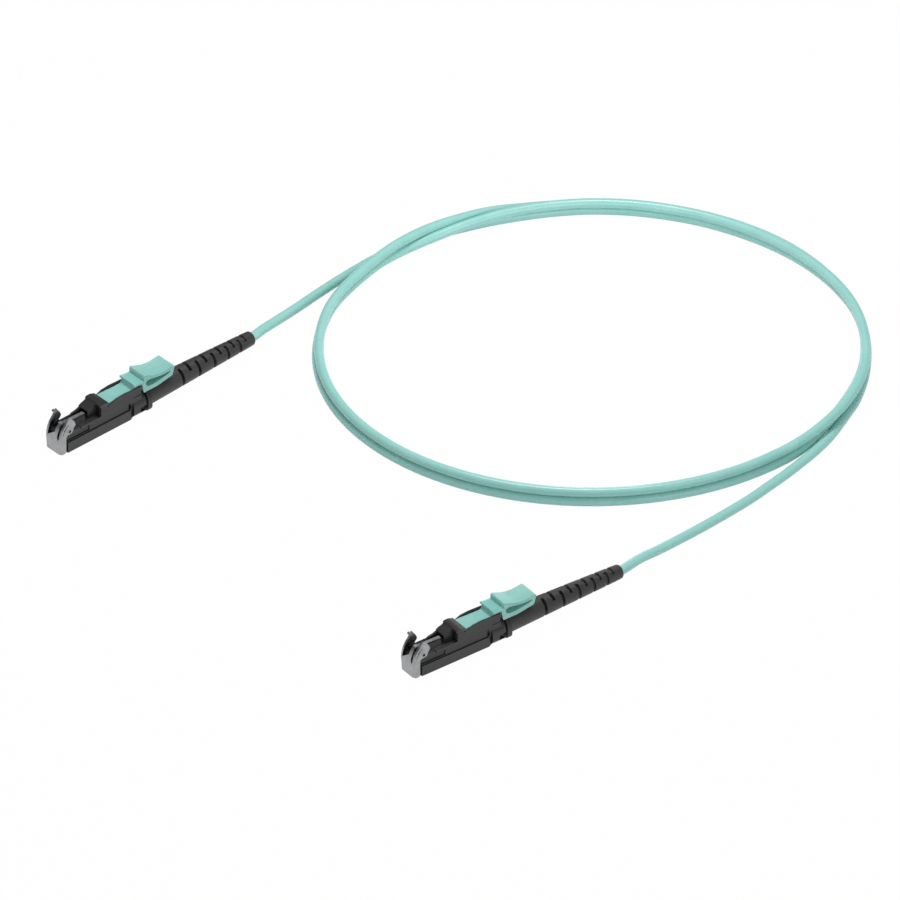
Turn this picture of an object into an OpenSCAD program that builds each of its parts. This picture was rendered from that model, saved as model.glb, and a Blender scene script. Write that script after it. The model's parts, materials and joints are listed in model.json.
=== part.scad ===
// Simplex fibre optic patch cord: one coiled cable between two identical shuttered plugs.
// Lengths are in millimetres. A plug is drawn in its own frame: x runs back from the closed
// shutter's face towards the cable, y runs across, and z runs up from the resting face.
// The part's origin lies on the first plug's resting face, on its centre line, rest_x behind
// the shutter's face.

/* [Cable] */
// Diameter of the cable's jacket
cable_d = 3; // [2.8:0.1:3.2]
// Diameter of the buffered fibre
fibre_d = 0.9; // [0.8:0.05:1]

/* [Housing] */
// Width across the side rails
body_w = 6.8; // [6.7:0.1:7.4]
// Height of the deck above the resting face
deck_z = 7; // [6.9:0.1:7.6]
// Height of the ferrule and cable axis
axis_z = 3.7; // [3.65:0.05:3.8]
// Depth of the side channel under the rail
side_step = 0.35; // [0.32:0.01:0.5]
// Height of the side panel under the channel
panel_z = 3.6; // [3.2:0.1:4]
// Thickness of the side rail
rail_t = 0.7; // [0.5:0.1:0.9]
// Distance from the shutter's face to the front of the rail
rail_x = 8.2; // [8.1:0.1:8.6]
// Distance from the shutter's face to the walls that hold the lever
wall_x = 16.2; // [16:0.1:16.5]
// Distance from the shutter's face to the rear end of the rails
body_x = 28.2; // [28:0.1:28.6]
// Distance from the rear end of the rails to the end of the housing
rear_len = 5.6; // [5.4:0.1:5.8]
// Width of the housing's rounded rear end
hub_w = 8; // [7.8:0.1:8.2]
// Width of the deck opening over the inner frame
opening_w = 3.6; // [3.4:0.1:4]

/* [Shutter] */
// Thickness of the shutter's sheet
sheet_t = 0.25; // [0.2:0.01:0.3]
// Distance from the shutter's face to its hinge pin
pivot_x = 3.6; // [3.55:0.05:3.7]
// Height of the hinge pin above the deck
pivot_up = 0.6; // [0.55:0.05:0.7]
// Diameter of the hinge pin
shutter_pin_d = 0.9; // [0.7:0.05:1.1]
// Gap between the resting face and the shutter's lower edge
shutter_foot = 0.2; // [0.15:0.05:0.6]

/* [Lever] */
// Width of the lever's tongue
tongue_w = 5.5; // [5.2:0.1:5.6]
// Distance from the shutter's face to the lever's hinge pin
lever_x = 17.4; // [17.3:0.05:17.5]
// Height of the lever's hinge pin above the deck
lever_up = 2.2; // [2.1:0.05:2.25]
// Diameter of the lever's hinge pin
lever_pin_d = 1; // [0.8:0.05:1.1]
// Free height between the lever's underside and the ring in front of the boot
lever_lift = 0.75; // [0.7:0.05:1]
// Thickness of the centre web between the lever's side pockets
web_t = 1.6; // [1.2:0.1:2.4]

/* [Ferrule] */
// Diameter of the ceramic ferrule
ferrule_d = 2.5; // [2.4:0.05:2.6]
// Gap between the shutter's face and the ferrule's tip
ferrule_x = 1.3; // [1.2:0.05:1.8]
// Diameter of the flange that the spring presses on
flange_d = 3.7; // [3.6:0.02:3.76]
// Outer diameter of the ferrule spring
spring_d = 3.4; // [3.3:0.02:3.5]
// Diameter of the spring's wire
wire_d = 0.34; // [0.28:0.02:0.38]
// Turns of the ferrule spring
spring_turns = 7; // [5:1:8]

/* [Inner frame] */
// Width and height of the inner frame
frame_w = 4.5; // [4.46:0.02:4.6]
// Distance from the shutter's face to the inner frame
frame_x = 4; // [3.6:0.1:4.4]
// Length of the inner frame
frame_len = 23; // [22.8:0.1:23.4]
// Width of the raised block on the inner frame
boss_w = 3.2; // [3:0.1:3.3]

/* [Boot] */
// Length of the ring in front of the boot
collar_len = 1.7; // [1.6:0.1:2]
// Width of that ring
collar_w = 8.8; // [8.6:0.1:9]
// Gap between the housing and the ring
collar_gap = 0.5; // [0.3:0.1:0.8]
// Length of the boot behind the ring
boot_len = 43.3; // [42:0.1:46]
// Diameter of the boot at the ring
boot_d = 7.4; // [7:0.1:7.4]
// Diameter of the boot at its tip
tip_d = 4.6; // [4.4:0.1:5]
// Number of slots along the boot
slots = 10; // [6:1:10]
// Width of one slot
slot_w = 1.1; // [0.6:0.1:1.2]
// Wall left between a slot and the cable
slot_web = 0.3; // [0.25:0.05:0.6]

/* [Clearances] */
// Radial gap of a pin that something turns on
running_gap = 0.05; // [0.02:0.01:0.08]
// Gap between pieces that are fixed together
fixed_gap = 0.02; // [0.01:0.01:0.04]
// Gap around the cable and round the metal pieces inside
loose_gap = 0.05; // [0.04:0.01:0.1]

/* [Hidden] */
$fn = 64;
eps = 0.5;

charcoal = "#4a4b4c";
aqua = "#8ccdc5";
jacket = "#93d3cd";
steel = "#96999b";
bright = "#c6c9cb";
ceramic = "#f2f1ec";
yarn = "#e3cf6a";

// Places of the two plugs and of the coil on the surface that they lie on
rest_x = 15;
plug_b_at = [-9.8, -154.5];
plug_b_turn = -5;
coil_at = [136.8, -72.2];
coil_turn = -41.5;

// Housing
half_w = body_w / 2;
core_hw = half_w - side_step;
nose_gap = 0.6;
nose_x = sheet_t + nose_gap;
nose_hw = core_hw - 0.2;
core_x = 2.9;
rail_lip = 0.1;
rail_low = deck_z + rail_lip - rail_t;
join = 0.4;
groove_end = 11.8;
groove_depth = 0.3;
groove_z = [axis_z + 0.4, axis_z + 2.2];
opening_x = [5.2, 12];
hub_x = body_x + 0.7;
hub_corner = 2.2;
hub_join = 0.05;
rear_x = body_x + rear_len;
saddle_x = rear_x - 1.4;
saddle_up = 1;
rear_bore_r = 2.6;
rear_bore_x = frame_x + frame_len + 0.1;
notch_len = 0.8;
notch_z = [axis_z + 0.5, axis_z + 1.9];
slot_low_x = [rear_x - 2.3, rear_x + eps];
slot_low_z = [1.2, 3.2];
slot_low_in = 3;
seam_x = [29.3, saddle_x + eps];
seam_z = [7.45, 7.7];
seam_depth = 0.3;
wall_gap = 0.15;
wall_in = tongue_w / 2 + wall_gap;
hinge_wall_x = [wall_x - 0.2, wall_x + 0.1];
hinge_wall_up = 3.4;

// Outlines above the deck, as [x, height over the deck]
wall_outline = [
  [wall_x, -join], [wall_x, 4.1], [17.8, 3.6], [18.9, 2.4], [20, 2.7], [22, 3.5], [25, 3.75],
  [28.5, 3.6], [saddle_x, 3.5], [saddle_x, -join]
];
far_wall = [
  [5, -join], [5, 1], [9, 1], [9.6, 1.4], [11.2, 1.65], [12.8, 2.3], [13.3, 2.8], [14.8, 3.4],
  [wall_x - 0.5, 4.1], [wall_x - 0.1, 4.1], [wall_x - 0.1, -join]
];
far_wall_y = [2.15, 2.85];
bridge = [
  [wall_x - 0.5, 3.3], [wall_x - 0.5, 3.9], [wall_x - 0.1, 4.15], [17.6, 4.15], [19.4, 3.5],
  [19.4, 3.3]
];
turret_roof = [
  [12.6, 1.9], [12.6, 2.6], [13.6, 3.1], [14.6, 3.4], [wall_x - 0.5, 3.9], [wall_x - 0.1, 3.9],
  [wall_x - 0.1, 3.3], [14.6, 2.8], [13.6, 2.4]
];
turret_wall = [
  [12.6, -join], [12.6, 2.5], [13.6, 3], [14.6, 3.3], [15.9, 3.6], [15.9, -join]
];
turret_y = [-1.3, -0.8];
lug_r = 1.2;
pin_recess = 0.1;
pin_cover = 0.2;

// Shutter, as [x, height] from its hinge pin
pivot_z = deck_z + pivot_up;
shutter_front = [
  [-pivot_x, shutter_foot - pivot_z], [-pivot_x, -2.2], [-3.25, -0.15], [-2.55, 1.7],
  [-1.5, 3.1], [-0.9, 4.4], [-0.4, 4.9]
];
cheek_back = [
  [0.3, 4.6], [1.3, 3.6], [2.1, 2.3], [2.3, 1.3], [1.7, 0.8], [1.3, -0.2], [1, -0.85],
  [-1, -0.95], [-1.2, -1.4], [-1.3, shutter_foot - pivot_z]
];
slit_y = [-2.75, -1.8];
slit_z = 5.5;
gap_y = [-0.55, 2.3];
gap_z = [5.6, 7.8];
tongue_top = 10.1;
sheet_x = [-pivot_x - eps, eps];
gap_outline = [
  [gap_y[1], gap_z[0]], [gap_y[1], 2 * tongue_top], [gap_y[0], 2 * tongue_top], [gap_y[0], gap_z[1]]
];

// Leaf spring of the shutter, as [x, height over the deck] along its underside
leaf_line = [
  [15, rail_lip], [12.3, rail_lip], [11.9, 1.65], [8, 1.8], [4.5, 1.95], [3.2, 2.25]
];
leaf_t = 0.2;
leaf_w = 1.2;
head_x = [2.4, 3.5];
head_w = 1.3;
head_up = 2.25;

// Lever, as [x, height over the deck]
lever_z = deck_z + lever_up;
barrel_r = 0.85;
ledge_x = 30.3;
ledge_up = [4.2, 5.05];
step_x = rear_x - 0.4;
step_up = 4.75;
tongue_outline = [
  [lever_x, lever_up + 0.8], [19.4, 3.15], [24, 3], [ledge_x - 0.6, 2.85], [ledge_x, ledge_up[0]],
  [ledge_x, ledge_up[1]], [step_x, step_up], [step_x + 0.7, 2.6], [ledge_x - 0.3, 1.9],
  [24, 2.1], [19.4, 2.2], [lever_x, lever_up - 0.8]
];
ledge_outline = [
  [ledge_x, ledge_up[0]], [ledge_x, ledge_up[1]], [step_x + join, step_up],
  [step_x + join, ledge_up[0]]
];
pad_outline = [
  [step_x - 0.8, ledge_up[0]], [step_x - 0.8, step_up], [step_x, step_up], [step_x, 6.3],
  [step_x + 0.3, 6.55], [35.7, 5.85], [37.5, 5.15], [39.3, 4.75], [41.3, 4.6], [43, 4.75],
  [44.5, 4.95], [45.6, 4.6], [44.7, 1.6], [37.5, 0.4], [34.9, -0.15], [33.8, -0.05],
  [step_x - 0.3, 1.5]
];
pocket_outline = [
  [34.2, 4.3], [36, 4.4], [38.5, 3.9], [41, 3.5], [44, 3.6], [43.5, 3.1], [40, 2.4], [37, 2.05],
  [35, 2.2]
];
relief_r = collar_w / 2 + lever_lift;
relief_x = [step_x - 1.7, 47];

// Ferrule, its flange and spring, and the bore of the inner frame that they run in
frame_end = frame_x + frame_len;
neck_x = 7.9;
neck_r = ferrule_d / 2 + 0.3;
shoulder_x = [neck_x + 0.1, neck_x + 0.6];
head_front = shoulder_x[1] + running_gap;
head_end = head_front + 1.75;
sleeve_r = ferrule_d / 2 + 0.7;
shank_r = 0.9;
shank_end = 11.8;
tail_end = 15.3;
tail_r = spring_d / 2 - wire_d - 0.11;
fibre_r = fibre_d / 2;
fibre_bore = fibre_r + 0.1;
bore_r = flange_d / 2 + 0.08;
chamfer = 0.3;
ferrule_travel = 1.2;
boss_x = [5.5, 11.6];
boss_up = 1.5;
boss_top_w = 1.6;
helix_sides = 14;
wire_sides = 6;

// Crimped end of the cable
crimp_x = 22;
crimp_gap = 0.08;
crimp_head_r = bore_r - crimp_gap;
crimp_neck_r = rear_bore_r - 0.5;
collar_x = rear_x + collar_gap;
boot_x = collar_x + collar_len;
crimp_flange = [rear_bore_x, rear_bore_x + 1.3];
crimp_tail_r = 1.6;
crimp_tail_x = [rear_x - 0.5, boot_x + 4.5];
spigot_len = 1.2;
spigot_x = boot_x - spigot_len;
ring_from = spigot_x + 0.1;
ring_to = boot_x + 5;
yarn_r = crimp_tail_r + fixed_gap + 0.13;
crimp_ring_r = 2.2;
cable_x = boot_x + 6;

// Boot, whose slots close up towards the tip
boot_end = boot_x + boot_len;
spigot_r = 3;
counterbore_r = crimp_ring_r + 0.2;
boot_bore_r = cable_d / 2 + loose_gap;
tip_round = (tip_d / 2 - boot_bore_r) * 0.9;
slot_arc = 222;
slot_turn = 30;
slot_first = boot_x + 13.5;
slot_pitch = 3.45;
tip_sides = 4;
slot_closing = 0.146;

// Route of the cable over the surface, by hand: the leg behind each boot and the coil between
cable_r = cable_d / 2;
inside_step = (boot_end - cable_x) / 4;
leg_a_points = [
  [70.4, 1.1, 3.5], [77.8, 2.2, 3], [85.3, 3.5, 2.4], [93, 4.9, 1.9], [100.4, 6, 1.6],
  [107.3, 6.7, cable_r], [114, 7.1, cable_r], [118, 7.3, cable_r]
];
leg_b_points = [
  [78.5, -160.3, 3.3], [85.7, -159.9, 2.5], [97.1, -159.3, 1.7], [107.2, -158.9, cable_r],
  [116.3, -158.5, cable_r], [124.9, -157.9, cable_r], [132.9, -156.8, cable_r],
  [140.6, -155.7, cable_r], [147.9, -154.3, cable_r], [155, -152.7, cable_r],
  [161.7, -150.7, cable_r], [168, -148.1, cable_r], [174.1, -145.2, cable_r],
  [180, -142.3, cable_r]
];

// Coil: an oval of two layers, with a third strand beside or on them for part of the way.
// Each list gives [angle, edge of the section] in cable radii.
coil_long = 82.5;
coil_short = 73.6;
coil_steps = 60;
coil_in = -1.45;
coil_out = [
  [-180, 1], [-33, 1], [-26, 2.45], [-20, 1.8], [-12, 1.35], [-5, 1], [5, 1], [15, 1.4], [25, 2.05],
  [35, 2.75], [45, 3.05], [90, 3.05], [100, 2.95], [110, 2.45], [120, 1.9], [130, 1.95],
  [140, 2.7], [144, 2.9], [149, 1], [180, 1]
];
coil_top = [
  [-180, 4], [-32, 4], [-26, 4.75], [-20, 5.5], [-12, 5.9], [-5, 6], [5, 6], [15, 5.85],
  [25, 5.15], [35, 4.5], [45, 4], [120, 4], [130, 4.25], [140, 4.2], [150, 4], [180, 4]
];

function unit(v) = v / norm(v);
function reverse(v) = [for (i = [len(v) - 1:-1:0]) v[i]];
function raised(points, up) = [for (p = points) p + [0, up]];

// A line moved sideways by d, to the right of its direction of travel
function beside(points, d) = [
  for (i = [0:len(points) - 1])
    let (t = unit(points[min(i + 1, len(points) - 1)] - points[max(i - 1, 0)]))
      points[i] + d * [t[1], -t[0]]
];
function strip(points, t) = concat(points, reverse(beside(points, t)));

// Triangles between neighbouring rings of n points, in the order that faces outwards
function skin(rings, n, closed) = [
  for (i = [0:rings - (closed ? 1 : 2)], k = [0:n - 1], half = [0, 1])
    let (a = i * n, b = ((i + 1) % rings) * n, j = (k + 1) % n)
      half == 0 ? [a + k, b + k, b + j] : [a + k, b + j, a + j]
];

function path_ring(path, i, r, n, up) =
  let (
    t = unit(path[min(i + 1, len(path) - 1)] - path[max(i - 1, 0)]),
    s = unit(cross(t, up)),
    u = cross(s, t)
  )
  [for (k = [0:n - 1]) path[i] + r * (cos(360 * (k + 0.5) / n) * s + sin(360 * (k + 0.5) / n) * u)];

module tube(path, r, n, up) {
  rings = len(path);
  last = (rings - 1) * n;
  polyhedron(
    points = [for (i = [0:rings - 1]) each path_ring(path, i, r, n, up)],
    faces = concat(skin(rings, n, false), [[for (k = [0:n - 1]) k]],
      [[for (k = [n - 1:-1:0]) last + k]]),
    convexity = 4
  );
}

module block(x, y, z) {
  translate([x[0], y[0], z[0]]) cube([x[1] - x[0], y[1] - y[0], z[1] - z[0]]);
}

module slab(x, half_y, z) {
  block(x, [-half_y, half_y], z);
}

// Round bar along x on the plug's axis
module rod(x, r) {
  translate([x[0], 0, axis_z]) rotate([0, 90, 0]) cylinder(h = x[1] - x[0], r = r);
}

// Bar along x, round above the plug's axis and square below it, with rounded lower corners
module rounded_bar(x, half, corner) {
  intersection() {
    rod(x, half);
    slab(x, half, [axis_z, axis_z + half]);
  }
  slab(x, half, [corner, axis_z]);
  slab(x, half - corner, [0, axis_z]);
  both_sides() translate([0, half - corner, corner - axis_z]) rod(x, corner);
}

// Outline of [y, z] points, extruded along the plug
module end_plate(x, points) {
  translate([x[0], 0, 0]) rotate([90, 0, 90]) linear_extrude(x[1] - x[0]) polygon(points);
}

// Round bar across the plug
module cross_rod(at, half_y, r) {
  translate([at[0], -half_y, at[1]]) rotate([-90, 0, 0]) cylinder(h = 2 * half_y, r = r);
}

// Outline of [x, z] points, extruded across the plug
module side_plate(y, points) {
  translate([0, y[1], 0]) rotate([90, 0, 0]) linear_extrude(y[1] - y[0]) polygon(points);
}

module both_sides() {
  children();
  mirror([0, 1, 0]) children();
}

module at_plug_a() {
  translate([-rest_x, 0, 0]) children();
}

module at_plug_b() {
  translate([plug_b_at[0], plug_b_at[1], 0]) rotate(plug_b_turn) children();
}

module body_shell() {
  slab([nose_x, core_x + join], nose_hw, [0, deck_z]);
  slab([core_x, hub_x + hub_join], core_hw, [0, deck_z]);
  slab([core_x, body_x], half_w, [0, panel_z]);
  slab([rail_x, body_x], half_w, [rail_low, deck_z + rail_lip]);
  slab([body_x - join, saddle_x], half_w, [axis_z, deck_z + saddle_up]);
  rounded_bar([hub_x, rear_x], hub_w / 2, hub_corner);
  both_sides() side_plate([wall_in, half_w], raised(wall_outline, deck_z));
  side_plate(far_wall_y, raised(far_wall, deck_z));
  side_plate([-half_w, half_w], raised(bridge, deck_z));
  slab(hinge_wall_x, wall_in + fixed_gap, [deck_z - join, deck_z + hinge_wall_up]);
  side_plate([turret_y[0], far_wall_y[1]], raised(turret_roof, deck_z));
  side_plate(turret_y, raised(turret_wall, deck_z));
  both_sides() block([pivot_x - lug_r, pivot_x + lug_r], far_wall_y, [deck_z - join, pivot_z]);
  both_sides() translate([0, (far_wall_y[0] + far_wall_y[1]) / 2, 0])
    cross_rod([pivot_x, pivot_z], (far_wall_y[1] - far_wall_y[0]) / 2, lug_r);
}

module body_cuts() {
  cavity = frame_w / 2 + loose_gap;
  slab([nose_x - eps, rear_bore_x], cavity, [axis_z - cavity, axis_z + cavity]);
  rod([rear_bore_x - eps, rear_x + eps], rear_bore_r);
  slab(opening_x, opening_w / 2, [axis_z, deck_z + eps]);
  both_sides() block([core_x - eps, groove_end], [core_hw - groove_depth, core_hw + eps], groove_z);
  both_sides() block([body_x - notch_len, body_x], [core_hw - groove_depth, half_w + eps], notch_z);
  both_sides() block(slot_low_x, [slot_low_in, hub_w], slot_low_z);
  both_sides() block(seam_x, [half_w - seam_depth, half_w + eps], seam_z);
  cross_rod([pivot_x, pivot_z], half_w, shutter_pin_d / 2 + fixed_gap);
  cross_rod([lever_x, lever_z], half_w - pin_cover, lever_pin_d / 2 + fixed_gap);
}

module plug_body() {
  color(charcoal) difference() {
    body_shell();
    body_cuts();
  }
}

module lever() {
  color(aqua) difference() {
    union() {
      side_plate([-tongue_w / 2, tongue_w / 2], raised(tongue_outline, deck_z));
      cross_rod([lever_x, lever_z], tongue_w / 2, barrel_r);
      side_plate([-half_w, half_w], raised(ledge_outline, deck_z));
      side_plate([-half_w, half_w], raised(pad_outline, deck_z));
    }
    rod(relief_x, relief_r);
    both_sides() side_plate([web_t / 2, half_w + eps], raised(pocket_outline, deck_z));
    cross_rod([lever_x, lever_z], tongue_w / 2 + eps, lever_pin_d / 2 + running_gap);
  }
}

module lever_pin() {
  color(bright) cross_rod([lever_x, lever_z], half_w - pin_cover - loose_gap, lever_pin_d / 2);
}

module shutter() {
  color(steel) translate([pivot_x, 0, pivot_z]) difference() {
    union() {
      side_plate([-half_w, half_w], strip(shutter_front, sheet_t));
      both_sides() side_plate([half_w - sheet_t, half_w], concat(shutter_front, cheek_back));
    }
    block(sheet_x, slit_y, [slit_z - pivot_z, tongue_top]);
    end_plate(sheet_x, raised(gap_outline, -pivot_z));
    block(sheet_x, [slit_y[1] - eps, gap_y[0] + eps], [tongue_top - pivot_z, tongue_top]);
    cross_rod([0, 0], half_w + eps, shutter_pin_d / 2 + running_gap);
  }
}

module shutter_pin() {
  color(bright) cross_rod([pivot_x, pivot_z], half_w - pin_recess, shutter_pin_d / 2);
}

module shutter_leaf_spring() {
  color(steel) {
    side_plate([-leaf_w / 2, leaf_w / 2], raised(strip(leaf_line, leaf_t), deck_z));
    slab(head_x, head_w / 2, deck_z * [1, 1] + [head_up, head_up + leaf_t]);
  }
}

module ferrule() {
  color(ceramic) {
    translate([ferrule_x, 0, axis_z]) rotate([0, 90, 0])
      cylinder(h = chamfer, r1 = ferrule_d / 2 - chamfer, r2 = ferrule_d / 2);
    rod([ferrule_x + chamfer, neck_x], ferrule_d / 2);
    rod([neck_x, shank_end], shank_r);
  }
}

module ferrule_flange() {
  color(bright) difference() {
    union() {
      rod([neck_x, tail_end], tail_r);
      rod([neck_x, head_front], neck_r);
      rod([head_front, head_end], flange_d / 2);
    }
    rod([neck_x - eps, shank_end], shank_r + fixed_gap);
    rod([shank_end - eps, tail_end + eps], fibre_bore);
  }
}

module ferrule_spring() {
  wire_r = wire_d / 2;
  mean_r = spring_d / 2 - wire_r;
  start = head_end + wire_r + loose_gap;
  end = crimp_x - wire_r - loose_gap;
  steps = spring_turns * helix_sides;
  helix = [
    for (i = [0:steps])
      [start + (end - start) * i / steps, mean_r * cos(360 * i / helix_sides),
        axis_z + mean_r * sin(360 * i / helix_sides)]
  ];
  color(bright) tube(helix, wire_r, wire_sides, [1, 0, 0]);
}

module inner_frame() {
  half = frame_w / 2;
  color(charcoal) difference() {
    union() {
      slab([frame_x, frame_end], half, [axis_z - half, axis_z + half]);
      slab(boss_x, boss_w / 2, [axis_z, deck_z]);
      end_plate(boss_x, [
        [-boss_w / 2, deck_z], [boss_w / 2, deck_z], [boss_top_w / 2, deck_z + boss_up],
        [-boss_top_w / 2, deck_z + boss_up]
      ]);
    }
    rod([frame_x - eps, shoulder_x[0]], sleeve_r);
    rod([shoulder_x[0] - eps, shoulder_x[1] + eps], neck_r + 2 * running_gap);
    rod([shoulder_x[1], frame_end + eps], bore_r);
  }
}

module crimp_body() {
  color(bright) difference() {
    union() {
      rod([crimp_x, rear_bore_x], crimp_head_r);
      rod(crimp_flange, rear_bore_r - crimp_gap);
      rod([crimp_flange[1], crimp_tail_x[0]], crimp_neck_r);
      rod(crimp_tail_x, crimp_tail_r);
    }
    rod([crimp_x - eps, crimp_tail_x[1] + eps], fibre_bore);
  }
}

module crimp_ring() {
  color(bright) difference() {
    rod([ring_from, ring_to], crimp_ring_r);
    rod([ring_from - eps, ring_to + eps], yarn_r + fixed_gap);
  }
}

module aramid_yarn() {
  color(yarn) difference() {
    rod([ring_from, cable_x], yarn_r);
    rod([ring_from - eps, crimp_tail_x[1] + fixed_gap], crimp_tail_r + fixed_gap);
    rod([ring_from, cable_x + eps], fibre_r + fixed_gap);
  }
}

module fibre_buffer() {
  color(jacket) rod([shank_end + ferrule_travel + 0.2, cable_x], fibre_r);
}

module boot_collar() {
  color(charcoal) difference() {
    rounded_bar([collar_x, boot_x], collar_w / 2, hub_corner);
    rod([collar_x - eps, boot_x], crimp_tail_r + 0.1);
    rod([spigot_x, boot_x + eps], spigot_r + fixed_gap);
  }
}

module boot_slot(i) {
  at = slot_first + slot_pitch * i - slot_closing * i * (i - 1) / 2;
  side = i % 2 == 0 ? -1 : 1;
  translate([at - slot_w / 2, 0, axis_z]) rotate([0, 90, 0])
    rotate(side * 90 + slot_turn - slot_arc / 2)
      rotate_extrude(angle = slot_arc) translate([boot_bore_r + slot_web, 0]) square([boot_d, slot_w]);
}

module boot() {
  tip_r = tip_d / 2;
  round_tip = [
    for (a = [0:90 / tip_sides:90])
      [tip_r - tip_round * (1 - cos(a)), boot_end - tip_round * (1 - sin(a))]
  ];
  outline = concat(
    [[boot_bore_r, cable_x], [counterbore_r, cable_x], [counterbore_r, spigot_x]],
    [[spigot_r, spigot_x], [spigot_r, boot_x], [boot_d / 2, boot_x]],
    round_tip, [[boot_bore_r, boot_end]]
  );
  color(charcoal) difference() {
    translate([0, 0, axis_z]) rotate([0, 90, 0]) rotate_extrude() polygon(outline);
    for (i = [0:slots - 1]) boot_slot(i);
  }
}

function plug_a_point(x) = [x - rest_x, 0, axis_z];
function plug_b_point(x) =
  [plug_b_at[0] + x * cos(plug_b_turn), plug_b_at[1] + x * sin(plug_b_turn), axis_z];

module cable_leg_a() {
  inside = [for (i = [0:4]) plug_a_point(cable_x + i * inside_step)];
  color(jacket) tube(concat(inside, leg_a_points), cable_r, 8, [0, 0, 1]);
}

module cable_leg_b() {
  inside = [for (i = [0:4]) plug_b_point(cable_x + i * inside_step)];
  color(jacket) tube(concat(inside, leg_b_points), cable_r, 8, [0, 0, 1]);
}

// Rounded section of the coil at one angle, as points round its edge
function coil_ring(a) =
  let (
    middle = [coil_long * cos(a), coil_short * sin(a), 0],
    out = unit([cos(a) / coil_long, sin(a) / coil_short, 0]),
    edge = [coil_in * cable_r, lookup(a, coil_out) * cable_r],
    high = lookup(a, coil_top) * cable_r
  )
  [
    for (corner = [0:3], turn = [0, 45, 90])
      let (
        side = corner == 0 || corner == 3 ? 1 : 0,
        up = corner < 2 ? 1 : 0,
        arm = corner * 90 + turn,
        rho = edge[side] + (side == 1 ? -1 : 1) * cable_r + cable_r * cos(arm),
        z = (up == 1 ? high - cable_r : cable_r) + cable_r * sin(arm)
      )
      middle + rho * out + [0, 0, z]
  ];

module cable_coil() {
  rings = [for (i = [0:coil_steps - 1]) coil_ring(180 - 360 * i / coil_steps)];
  color(jacket) translate([coil_at[0], coil_at[1], 0]) rotate(coil_turn)
    polyhedron(points = [for (r = rings) each r], faces = skin(coil_steps, 12, true),
      convexity = 6);
}

at_plug_a() plug_body();  // plug_body_a
at_plug_a() lever();  // lever_a
at_plug_a() lever_pin();  // lever_pin_a
at_plug_a() shutter();  // shutter_a
at_plug_a() shutter_pin();  // shutter_pin_a
at_plug_a() shutter_leaf_spring();  // shutter_leaf_spring_a
at_plug_a() ferrule();  // ferrule_a
at_plug_a() ferrule_flange();  // ferrule_flange_a
at_plug_a() ferrule_spring();  // ferrule_spring_a
at_plug_a() inner_frame();  // inner_frame_a
at_plug_a() crimp_body();  // crimp_body_a
at_plug_a() crimp_ring();  // crimp_ring_a
at_plug_a() boot_collar();  // boot_collar_a
at_plug_a() boot();  // boot_a
at_plug_a() fibre_buffer();  // fibre_buffer_a
at_plug_a() aramid_yarn();  // aramid_yarn_a
at_plug_b() plug_body();  // plug_body_b
at_plug_b() lever();  // lever_b
at_plug_b() lever_pin();  // lever_pin_b
at_plug_b() shutter();  // shutter_b
at_plug_b() shutter_pin();  // shutter_pin_b
at_plug_b() shutter_leaf_spring();  // shutter_leaf_spring_b
at_plug_b() ferrule();  // ferrule_b
at_plug_b() ferrule_flange();  // ferrule_flange_b
at_plug_b() ferrule_spring();  // ferrule_spring_b
at_plug_b() inner_frame();  // inner_frame_b
at_plug_b() crimp_body();  // crimp_body_b
at_plug_b() crimp_ring();  // crimp_ring_b
at_plug_b() boot_collar();  // boot_collar_b
at_plug_b() boot();  // boot_b
at_plug_b() fibre_buffer();  // fibre_buffer_b
at_plug_b() aramid_yarn();  // aramid_yarn_b
cable_leg_a();
cable_coil();
cable_leg_b();
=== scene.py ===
"""Looks of the simplex fibre patch cord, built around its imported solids. Metres, CAD frame."""

import json
import math

import bmesh
import bpy
from mathutils import Matrix, Vector


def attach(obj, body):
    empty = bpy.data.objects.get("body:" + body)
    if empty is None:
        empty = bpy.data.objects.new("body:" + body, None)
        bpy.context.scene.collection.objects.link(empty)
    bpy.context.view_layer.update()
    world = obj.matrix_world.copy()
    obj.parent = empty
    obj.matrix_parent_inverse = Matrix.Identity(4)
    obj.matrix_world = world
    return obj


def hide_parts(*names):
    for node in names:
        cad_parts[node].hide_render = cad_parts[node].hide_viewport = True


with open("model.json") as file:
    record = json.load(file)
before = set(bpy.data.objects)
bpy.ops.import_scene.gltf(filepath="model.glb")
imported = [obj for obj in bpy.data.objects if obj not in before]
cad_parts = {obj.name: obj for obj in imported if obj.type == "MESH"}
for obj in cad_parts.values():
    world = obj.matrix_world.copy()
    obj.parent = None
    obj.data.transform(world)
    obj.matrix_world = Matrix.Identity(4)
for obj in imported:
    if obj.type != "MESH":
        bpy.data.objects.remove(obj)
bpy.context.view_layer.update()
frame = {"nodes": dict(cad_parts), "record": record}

MM = 0.001
PLUGS = "ab"

# ---------------------------------------------------------------- places in the frame
# A plug is drawn in its own frame in millimetres: x runs back from the closed shutter's face,
# y across, z up from the resting face. Its near side is the one at negative y.

MOUNTS = {mount["name"]: mount for mount in frame["record"]["mounts"]}
REST_X = 15.0  # where the mount on the resting face lies along a plug
PLUG_B_TURN = math.radians(-5)  # the second plug's turn about the vertical
HALF_W = 3.4  # half the width of housing, shutter and lever pad
DECK_Z = 7.0  # top of the housing under the lever
AXIS_Z = 3.7  # height of the ferrule's and the cable's axis
BOOT_X, BOOT_END = 36.0, 79.3  # where the boot starts and ends
CABLE_D = 3.0
COIL_AT = (136.8, -72.2)  # middle of the coil, in row millimetres


def plug_matrix(plug):
    """Where a plug's own frame lies in the row frame."""
    spot = Vector(MOUNTS[f"rest_face_{plug}"]["pos_m"])
    turn = Matrix.Rotation(PLUG_B_TURN if plug == "b" else 0.0, 4, "Z")
    back = Matrix.Translation((-REST_X * MM, 0, 0))
    return Matrix.Translation(spot) @ turn @ back @ Matrix.Scale(MM, 4)


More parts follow.
